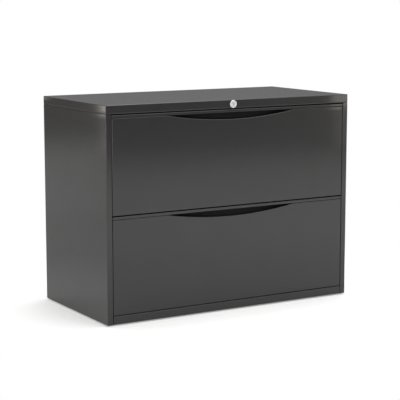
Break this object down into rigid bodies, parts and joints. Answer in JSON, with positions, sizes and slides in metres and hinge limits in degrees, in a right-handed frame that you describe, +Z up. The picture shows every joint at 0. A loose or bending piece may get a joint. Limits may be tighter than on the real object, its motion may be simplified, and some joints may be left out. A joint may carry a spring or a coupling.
{
  "type": "lateral filing cabinet",
  "caption": "Wide steel filing cabinet with full-width drawers on ball slides, flush fronts with curved finger pulls, and a central lock.",
  "frame": {"origin": "on the floor under the middle of the case, with the glides screwed fully in", "axes": "+X to the right seen from the front, +Y to the back, +Z up; the drawers open along -Y"},
  "size_m": [0.9144, 0.4606, 0.6898],
  "materials": {
    "charcoal_paint": "satin powder coat",
    "black_moulding": "matte",
    "zinc_plate": "zinc plated",
    "lock_chrome": "polished",
    "bumper_rubber": "matte",
    "ballast_iron": "primed"
  },
  "bodies": {
    "case": {"left_side_panel": "charcoal_paint", "right_side_panel": "charcoal_paint", "back_panel": "charcoal_paint", "top_cover": "charcoal_paint", "base_pan": "charcoal_paint", "base_front_rail": "charcoal_paint", "base_rear_rail": "charcoal_paint", "header_rail": "charcoal_paint", "front_uprights": "charcoal_paint", "rear_uprights": "charcoal_paint", "counterweight": "ballast_iron", "base_corner_brackets": "charcoal_paint", "glide_nuts": "zinc_plate", "slide_rivets": "zinc_plate", "cover_screws": "zinc_plate", "drawer_bumpers": "bumper_rubber", "lock_housing": "lock_chrome", "lock_clip": "zinc_plate", "lock_guides": "black_moulding", "upper_drawer_slide_outer_members": "zinc_plate", "lower_drawer_slide_outer_members": "zinc_plate"},
    "upper_drawer": {"upper_drawer_front_panel": "charcoal_paint", "upper_drawer_pull_rail": "charcoal_paint", "upper_drawer_pull_cup": "black_moulding", "upper_drawer_front_liner": "charcoal_paint", "upper_drawer_tray": "charcoal_paint", "upper_drawer_back": "charcoal_paint", "upper_drawer_hang_rails": "zinc_plate", "upper_drawer_lock_strike": "zinc_plate", "upper_drawer_rivets": "zinc_plate", "upper_drawer_slide_inner_members": "zinc_plate"},
    "upper_drawer_slide_middle": {"upper_drawer_slide_middle_members": "zinc_plate"},
    "upper_drawer_outer_bearing": {"upper_drawer_slide_outer_cages": "black_moulding", "upper_drawer_slide_outer_balls": "zinc_plate"},
    "upper_drawer_inner_bearing": {"upper_drawer_slide_inner_cages": "black_moulding", "upper_drawer_slide_inner_balls": "zinc_plate"},
    "lower_drawer": {"lower_drawer_front_panel": "charcoal_paint", "lower_drawer_pull_rail": "charcoal_paint", "lower_drawer_pull_cup": "black_moulding", "lower_drawer_front_liner": "charcoal_paint", "lower_drawer_tray": "charcoal_paint", "lower_drawer_back": "charcoal_paint", "lower_drawer_hang_rails": "zinc_plate", "lower_drawer_lock_strike": "zinc_plate", "lower_drawer_rivets": "zinc_plate", "lower_drawer_slide_inner_members": "zinc_plate"},
    "lower_drawer_slide_middle": {"lower_drawer_slide_middle_members": "zinc_plate"},
    "lower_drawer_outer_bearing": {"lower_drawer_slide_outer_cages": "black_moulding", "lower_drawer_slide_outer_balls": "zinc_plate"},
    "lower_drawer_inner_bearing": {"lower_drawer_slide_inner_cages": "black_moulding", "lower_drawer_slide_inner_balls": "zinc_plate"},
    "lock_plug": {"lock_plug": "lock_chrome", "lock_cam": "zinc_plate"},
    "lock_link": {"lock_link": "zinc_plate"},
    "lock_bar": {"lock_bar": "zinc_plate"},
    "front_left_glide": {"front_left_glide": "zinc_plate"},
    "front_right_glide": {"front_right_glide": "zinc_plate"},
    "rear_left_glide": {"rear_left_glide": "zinc_plate"},
    "rear_right_glide": {"rear_right_glide": "zinc_plate"}
  },
  "joints": [
    {"name": "upper_drawer_slide", "type": "slide", "parent": "case", "child": "upper_drawer", "axis": [0, -1, 0], "range_m": [0, 0.4]},
    {"name": "upper_drawer_slide_middle_travel", "type": "slide", "parent": "case", "child": "upper_drawer_slide_middle", "axis": [0, -1, 0], "range_m": [0, 0.2]},
    {"name": "upper_drawer_outer_bearing_travel", "type": "slide", "parent": "case", "child": "upper_drawer_outer_bearing", "axis": [0, -1, 0], "range_m": [0, 0.1]},
    {"name": "upper_drawer_inner_bearing_travel", "type": "slide", "parent": "case", "child": "upper_drawer_inner_bearing", "axis": [0, -1, 0], "range_m": [0, 0.3]},
    {"name": "lower_drawer_slide", "type": "slide", "parent": "case", "child": "lower_drawer", "axis": [0, -1, 0], "range_m": [0, 0.4]},
    {"name": "lower_drawer_slide_middle_travel", "type": "slide", "parent": "case", "child": "lower_drawer_slide_middle", "axis": [0, -1, 0], "range_m": [0, 0.2]},
    {"name": "lower_drawer_outer_bearing_travel", "type": "slide", "parent": "case", "child": "lower_drawer_outer_bearing", "axis": [0, -1, 0], "range_m": [0, 0.1]},
    {"name": "lower_drawer_inner_bearing_travel", "type": "slide", "parent": "case", "child": "lower_drawer_inner_bearing", "axis": [0, -1, 0], "range_m": [0, 0.3]},
    {"name": "lock_turn", "type": "hinge", "parent": "case", "child": "lock_plug", "pos_m": [0, -0.22, 0.6758], "axis": [0, 1, 0], "range_deg": [0, 90.05]},
    {"name": "lock_link_slide", "type": "slide", "parent": "case", "child": "lock_link", "axis": [-1, 0, 0], "range_m": [0, 0.02828]},
    {"name": "lock_bar_slide", "type": "slide", "parent": "case", "child": "lock_bar", "axis": [0, 0, -1], "range_m": [0, 0.0101]},
    {"name": "front_left_glide_adjust", "type": "slide", "parent": "case", "child": "front_left_glide", "axis": [0, 0, -1], "range_m": [0, 0.01]},
    {"name": "front_right_glide_adjust", "type": "slide", "parent": "case", "child": "front_right_glide", "axis": [0, 0, -1], "range_m": [0, 0.01]},
    {"name": "rear_left_glide_adjust", "type": "slide", "parent": "case", "child": "rear_left_glide", "axis": [0, 0, -1], "range_m": [0, 0.01]},
    {"name": "rear_right_glide_adjust", "type": "slide", "parent": "case", "child": "rear_right_glide", "axis": [0, 0, -1], "range_m": [0, 0.01]}
  ],
  "couplings": [
    {"joint": "upper_drawer_slide_middle_travel", "follows": "upper_drawer_slide", "ratio": 0.5},
    {"joint": "upper_drawer_outer_bearing_travel", "follows": "upper_drawer_slide", "ratio": 0.25},
    {"joint": "upper_drawer_inner_bearing_travel", "follows": "upper_drawer_slide", "ratio": 0.75},
    {"joint": "lower_drawer_slide_middle_travel", "follows": "lower_drawer_slide", "ratio": 0.5},
    {"joint": "lower_drawer_outer_bearing_travel", "follows": "lower_drawer_slide", "ratio": 0.25},
    {"joint": "lower_drawer_inner_bearing_travel", "follows": "lower_drawer_slide", "ratio": 0.75},
    {"joint": "lock_turn", "follows": "lock_link_slide", "rad_per_m": 55.536},
    {"joint": "lock_bar_slide", "follows": "lock_link_slide", "ratio": 0.35355}
  ]
}
